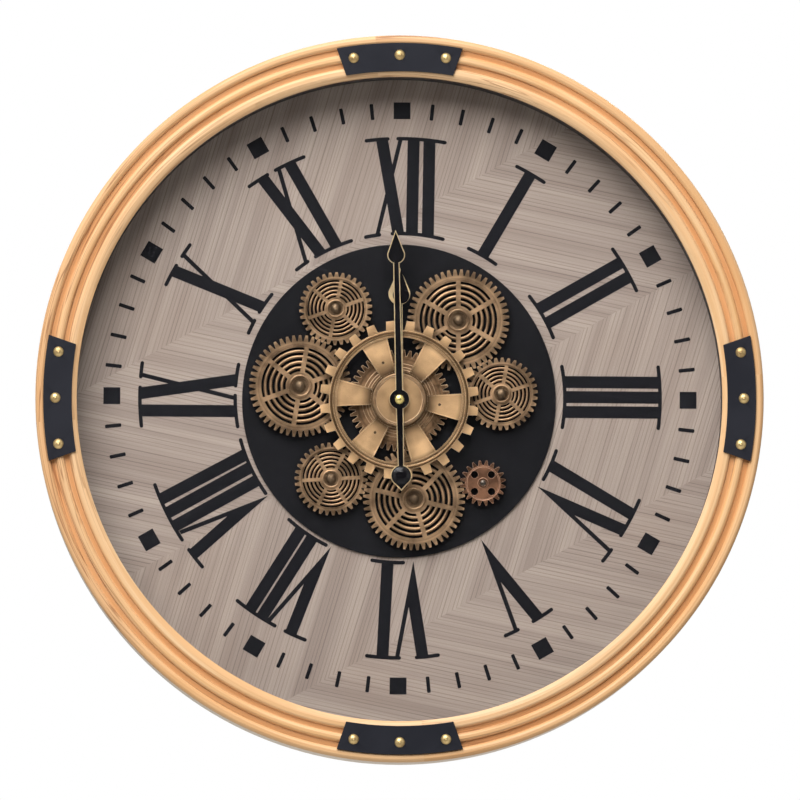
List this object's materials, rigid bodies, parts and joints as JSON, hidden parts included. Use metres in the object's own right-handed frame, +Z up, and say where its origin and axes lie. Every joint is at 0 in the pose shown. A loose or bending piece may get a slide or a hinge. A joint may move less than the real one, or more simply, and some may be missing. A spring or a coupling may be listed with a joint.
{
  "type": "wall clock",
  "caption": "Round wall clock: reeded wooden ring with iron straps, glazed veneer dial, and meshing brass gears that turn behind leaf-shaped hands.",
  "frame": {"origin": "middle of the hanger keyhole's round end, on the wall plane", "axes": "+Z up, the dial faces -Y, +Y goes into the wall"},
  "size_m": [0.6, 0.0704, 0.6],
  "materials": {
    "ring_wood": "satin varnish over straight grain",
    "strap_iron": "satin black paint",
    "nail_brass": "polished dome",
    "pane": "clear polished",
    "spacer_black": "matt black paint on fibreboard",
    "fibreboard": "raw fibreboard",
    "veneer": "taupe veneer laid in chevrons, open pore",
    "plate_black": "satin black sheet",
    "steel": "turned",
    "gear_brass": "antique brass, darkened in the recesses",
    "cog_brass": "satin gold brass",
    "pinion_copper": "dark copper plate",
    "hand_brass": "polished edge",
    "hand_black": "gloss black enamel",
    "black_plastic": "moulded, fine texture",
    "board_green": "solder mask",
    "coil_copper": "enamelled copper wire"
  },
  "bodies": {
    "case": {"frame_upper_right": "ring_wood", "frame_upper_left": "ring_wood", "frame_lower_left": "ring_wood", "frame_lower_right": "ring_wood", "frame_dowels": "ring_wood", "strap_top": "strap_iron", "strap_left": "strap_iron", "strap_bottom": "strap_iron", "strap_right": "strap_iron", "strap_nails": "nail_brass", "glass": "pane", "spacer_ring": "spacer_black", "dial_board": "fibreboard", "dial_face": "veneer", "gear_plate": "plate_black", "gear_posts": "steel", "gear_post_caps": "gear_brass", "hand_bush": "hand_brass", "bush_nut": "hand_brass", "wheel_collar": "steel", "movement_case": "black_plastic", "movement_cover": "black_plastic", "circuit_board": "board_green", "coil": "coil_copper", "drive_case": "black_plastic", "drive_cover": "black_plastic", "motor_can": "steel", "drive_screws": "steel", "battery_cells": "steel", "cell_contacts": "hand_brass", "dial_clips": "steel", "clip_screws": "nail_brass", "hanger_rail": "ring_wood", "hanger_plate": "steel", "hanger_screws": "steel"},
    "centre_wheel": {"centre_wheel": "gear_brass", "big_cog": "cog_brass", "cog_rivets": "cog_brass", "hub_cap": "cog_brass"},
    "drive_pinion": {"drive_pinion": "pinion_copper", "output_shaft": "steel"},
    "motor_pinion": {"motor_pinion": "hand_brass"},
    "minute_hand": {"minute_hand": "hand_brass", "minute_hand_inlay": "hand_black", "minute_arbor": "steel", "hand_nut": "hand_brass"},
    "hour_hand": {"hour_hand": "hand_brass", "hour_hand_inlay": "hand_black", "hour_wheel": "hand_brass"},
    "minute_wheel": {"minute_wheel": "hand_brass", "setting_knob": "black_plastic"},
    "gear_upper_left": {"gear_upper_left": "gear_brass"},
    "gear_upper_right": {"gear_upper_right": "gear_brass"},
    "gear_left": {"gear_left": "gear_brass"},
    "gear_lower_left": {"gear_lower_left": "gear_brass"},
    "gear_lower": {"gear_lower": "gear_brass"},
    "gear_right": {"gear_right": "gear_brass"}
  },
  "joints": [
    {"name": "centre_wheel_turn", "type": "hinge", "parent": "case", "child": "centre_wheel", "pos_m": [0, -0.032, -0.236], "axis": [0, 1, 0], "continuous": true},
    {"name": "gear_upper_left_turn", "type": "hinge", "parent": "case", "child": "gear_upper_left", "pos_m": [-0.05234, -0.032, -0.15996], "axis": [0, 1, 0], "continuous": true},
    {"name": "gear_upper_right_turn", "type": "hinge", "parent": "case", "child": "gear_upper_right", "pos_m": [0.04899, -0.032, -0.16955], "axis": [0, 1, 0], "continuous": true},
    {"name": "gear_left_turn", "type": "hinge", "parent": "case", "child": "gear_left", "pos_m": [-0.0817, -0.032, -0.22408], "axis": [0, 1, 0], "continuous": true},
    {"name": "gear_lower_left_turn", "type": "hinge", "parent": "case", "child": "gear_lower_left", "pos_m": [-0.05617, -0.032, -0.30093], "axis": [0, 1, 0], "continuous": true},
    {"name": "gear_lower_turn", "type": "hinge", "parent": "case", "child": "gear_lower", "pos_m": [0.01235, -0.032, -0.31763], "axis": [0, 1, 0], "continuous": true},
    {"name": "gear_right_turn", "type": "hinge", "parent": "case", "child": "gear_right", "pos_m": [0.08447, -0.032, -0.2305], "axis": [0, 1, 0], "continuous": true},
    {"name": "drive_pinion_turn", "type": "hinge", "parent": "case", "child": "drive_pinion", "pos_m": [0.06928, -0.032, -0.30428], "axis": [0, 1, 0], "continuous": true},
    {"name": "motor_pinion_turn", "type": "hinge", "parent": "case", "child": "motor_pinion", "pos_m": [0.08728, -0.0084, -0.30428], "axis": [0, 1, 0], "continuous": true},
    {"name": "minute_hand_turn", "type": "hinge", "parent": "case", "child": "minute_hand", "pos_m": [0, -0.049, -0.236], "axis": [0, 1, 0], "continuous": true},
    {"name": "hour_hand_turn", "type": "hinge", "parent": "case", "child": "hour_hand", "pos_m": [0, -0.046, -0.236], "axis": [0, 1, 0], "continuous": true},
    {"name": "minute_wheel_turn", "type": "hinge", "parent": "case", "child": "minute_wheel", "pos_m": [0, -0.008, -0.224], "axis": [0, 1, 0], "continuous": true}
  ],
  "couplings": [
    {"joint": "gear_upper_right_turn", "follows": "centre_wheel_turn", "ratio": -1},
    {"joint": "gear_left_turn", "follows": "centre_wheel_turn", "ratio": -1},
    {"joint": "gear_lower_turn", "follows": "centre_wheel_turn", "ratio": -1},
    {"joint": "gear_upper_left_turn", "follows": "centre_wheel_turn", "ratio": 1.4118},
    {"joint": "gear_lower_left_turn", "follows": "centre_wheel_turn", "ratio": 1.4118},
    {"joint": "gear_right_turn", "follows": "centre_wheel_turn", "ratio": 1.4118},
    {"joint": "drive_pinion_turn", "follows": "centre_wheel_turn", "ratio": 2.4},
    {"joint": "motor_pinion_turn", "follows": "centre_wheel_turn", "ratio": -9.6},
    {"joint": "hour_hand_turn", "follows": "minute_hand_turn", "ratio": 0.083333},
    {"joint": "minute_wheel_turn", "follows": "minute_hand_turn", "ratio": -0.33333}
  ]
}
